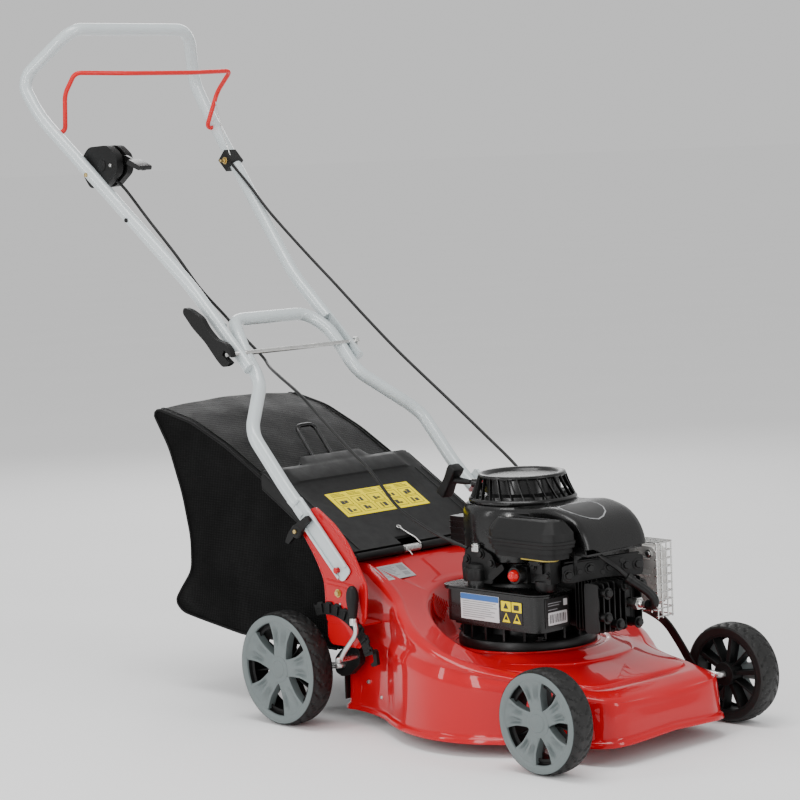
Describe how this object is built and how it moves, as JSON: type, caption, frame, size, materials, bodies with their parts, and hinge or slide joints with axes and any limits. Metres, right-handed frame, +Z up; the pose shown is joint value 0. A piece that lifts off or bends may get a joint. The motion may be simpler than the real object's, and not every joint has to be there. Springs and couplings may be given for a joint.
{
  "type": "petrol push lawn mower",
  "caption": "Walk-behind petrol lawn mower with pressed-steel deck, folding tubular handle, rear flap and fabric grass bag; height lever, bail and starter pull.",
  "frame": {"origin": "on the ground, under the middle of the mower's length and width", "axes": "+X forward along the mower's length, +Y to the mower's left, +Z up"},
  "size_m": [1.293, 0.4732, 1.1306],
  "materials": {
    "deck_red": "gloss",
    "handle_grey": "gloss",
    "zinc": "satin",
    "blade_steel": "satin",
    "chrome_guard": "gloss",
    "engine_alloy": "painted black",
    "flywheel_iron": "matt",
    "gloss_black": "gloss",
    "black_plastic": "matt",
    "wheel_plastic": "matt",
    "cover_grey": "matt",
    "link_black": "satin",
    "cable_black": "satin",
    "bail_red": "gloss",
    "bag_black": "woven",
    "primer_red": "gloss"
  },
  "bodies": {
    "chassis": {"deck_shell": "deck_red", "discharge_chute": "black_plastic", "handle_bracket_right": "deck_red", "handle_bracket_left": "deck_red", "height_quadrant": "black_plastic", "flap_hinge_rod": "zinc", "flap_spring": "zinc", "crankcase": "engine_alloy", "cylinder_head": "engine_alloy", "spark_plug": "zinc", "spark_plug_lead": "cable_black", "blower_housing": "gloss_black", "starter_cover": "gloss_black", "fuel_tank": "gloss_black", "carburettor": "engine_alloy", "air_filter_base": "black_plastic", "air_filter_cover": "black_plastic", "muffler": "zinc", "muffler_guard": "chrome_guard", "brake_bracket": "zinc", "brake_cable_lower": "cable_black", "throttle_cable_lower": "cable_black"},
    "front_axle_body": {"front_axle": "zinc"},
    "rear_axle_body": {"rear_axle": "zinc", "height_lever": "zinc", "height_knob": "black_plastic"},
    "link": {"link_bar": "link_black"},
    "crank": {"crankshaft": "blade_steel", "flywheel": "flywheel_iron", "blade_adapter": "blade_steel", "blade": "blade_steel", "blade_bolt": "zinc"},
    "pulley": {"starter_pulley": "black_plastic"},
    "starter_grip": {"starter_handle": "black_plastic"},
    "fuel_filler_cap": {"fuel_cap": "black_plastic"},
    "oil_cap": {"oil_filler_cap": "black_plastic"},
    "primer": {"primer_bulb": "primer_red"},
    "flap": {"rear_flap": "black_plastic"},
    "bag": {"bag_fabric": "bag_black", "bag_frame": "gloss_black"},
    "lower_frame": {"lower_handle": "handle_grey", "tie_rod": "zinc", "brake_cable_upper": "cable_black", "throttle_cable_upper": "cable_black"},
    "upper_frame": {"upper_handle": "handle_grey", "cable_anchor": "black_plastic", "throttle_housing": "black_plastic"},
    "cam": {"cam_lever": "black_plastic"},
    "bail_body": {"bail": "bail_red"},
    "throttle": {"throttle_lever": "gloss_black"},
    "lock_right": {"bracket_lock_right": "black_plastic"},
    "lock_left": {"bracket_lock_left": "black_plastic"},
    "wheel_front_right_body": {"wheel_front_right": "wheel_plastic", "wheel_cover_front_right": "cover_grey"},
    "wheel_front_left_body": {"wheel_front_left": "wheel_plastic", "wheel_cover_front_left": "cover_grey"},
    "wheel_rear_right_body": {"wheel_rear_right": "wheel_plastic", "wheel_cover_rear_right": "cover_grey"},
    "wheel_rear_left_body": {"wheel_rear_left": "wheel_plastic", "wheel_cover_rear_left": "cover_grey"}
  },
  "joints": [
    {"name": "wheel_front_right_spin", "type": "hinge", "parent": "front_axle_body", "child": "wheel_front_right_body", "pos_m": [0.57054, 0, 0.076], "axis": [0, 1, 0], "continuous": true},
    {"name": "wheel_front_left_spin", "type": "hinge", "parent": "front_axle_body", "child": "wheel_front_left_body", "pos_m": [0.57054, 0, 0.076], "axis": [0, 1, 0], "continuous": true},
    {"name": "wheel_rear_right_spin", "type": "hinge", "parent": "rear_axle_body", "child": "wheel_rear_right_body", "pos_m": [0.02054, 0, 0.0893], "axis": [0, 1, 0], "continuous": true},
    {"name": "wheel_rear_left_spin", "type": "hinge", "parent": "rear_axle_body", "child": "wheel_rear_left_body", "pos_m": [0.02054, 0, 0.0893], "axis": [0, 1, 0], "continuous": true},
    {"name": "height_lever_turn", "type": "hinge", "parent": "chassis", "child": "rear_axle_body", "pos_m": [0.10054, 0, 0.095], "axis": [0, 1, 0], "range_deg": [-7, 14]},
    {"name": "front_axle_turn", "type": "hinge", "parent": "chassis", "child": "front_axle_body", "pos_m": [0.53054, 0, 0.082], "axis": [0, 1, 0], "range_deg": [-28, 14]},
    {"name": "link_turn", "type": "hinge", "parent": "rear_axle_body", "child": "link", "pos_m": [0.10054, 0, 0.117], "axis": [0, 1, 0], "range_deg": [-14, 7]},
    {"name": "crank_spin", "type": "hinge", "parent": "chassis", "child": "crank", "pos_m": [0.34054, 0, 0], "axis": [0, 0, 1], "continuous": true},
    {"name": "starter_pull", "type": "slide", "parent": "chassis", "child": "starter_grip", "axis": [-0.6202, -0.08, 0.7803], "range_m": [0, 0.4], "stiffness_N_per_m": 12},
    {"name": "starter_pulley_turn", "type": "hinge", "parent": "chassis", "child": "pulley", "pos_m": [0.34054, 0, 0], "axis": [0, 0, 1], "range_deg": [0, 660]},
    {"name": "fuel_cap_turn", "type": "hinge", "parent": "chassis", "child": "fuel_filler_cap", "pos_m": [0.33054, -0.09, 0], "axis": [0, 0, 1], "range_deg": [0, 90]},
    {"name": "oil_cap_turn", "type": "hinge", "parent": "chassis", "child": "oil_cap", "pos_m": [0.28054, 0.08, 0], "axis": [0, 0, 1], "range_deg": [0, 90]},
    {"name": "primer_press", "type": "slide", "parent": "chassis", "child": "primer", "axis": [0, 1, 0], "range_m": [0, 0.004], "stiffness_N_per_m": 400},
    {"name": "flap_lift", "type": "hinge", "parent": "chassis", "child": "flap", "pos_m": [0.11854, 0, 0.262], "axis": [0, 1, 0], "range_deg": [0, 55]},
    {"name": "bag_draw", "type": "slide", "parent": "chassis", "child": "bag", "axis": [-0.866, 0, 0.5], "range_m": [0, 0.25]},
    {"name": "lower_handle_fold", "type": "hinge", "parent": "chassis", "child": "lower_frame", "pos_m": [0.12754, 0, 0.25], "axis": [0, 1, 0], "range_deg": [0, 45], "deforming": ["brake_cable_lower", "throttle_cable_lower"]},
    {"name": "upper_handle_fold", "type": "hinge", "parent": "lower_frame", "child": "upper_frame", "pos_m": [-0.16946, 0, 0.57], "axis": [0, 1, 0], "range_deg": [0, 105], "deforming": ["brake_cable_upper", "throttle_cable_upper"]},
    {"name": "cam_lever_swing", "type": "hinge", "parent": "lower_frame", "child": "cam", "pos_m": [-0.16946, -0.1483, 0.57], "axis": [0.5519, 0, 0.8339], "range_deg": [0, 90]},
    {"name": "bail_squeeze", "type": "hinge", "parent": "upper_frame", "child": "bail_body", "pos_m": [-0.57046, 0, 0.944], "axis": [0, -1, 0], "range_deg": [0, 40], "stiffness_Nm_per_rad": 1.5, "springref_deg": -28.65},
    {"name": "throttle_move", "type": "hinge", "parent": "upper_frame", "child": "throttle", "pos_m": [-0.47546, -0.135, 0.884], "axis": [0, 1, 0], "range_deg": [-30, 10]},
    {"name": "lock_right_turn", "type": "hinge", "parent": "lower_frame", "child": "lock_right", "pos_m": [0.04554, -0.2, 0.305], "axis": [0, 1, 0], "range_deg": [0, 90]},
    {"name": "lock_left_turn", "type": "hinge", "parent": "lower_frame", "child": "lock_left", "pos_m": [0.04554, 0.2, 0.305], "axis": [0, 1, 0], "range_deg": [0, 90]}
  ],
  "couplings": [
    {"joint": "front_axle_turn", "follows": "height_lever_turn", "ratio": -2},
    {"joint": "link_turn", "follows": "height_lever_turn", "ratio": -1},
    {"joint": "starter_pulley_turn", "follows": "starter_pull", "rad_per_m": 28.57}
  ]
}
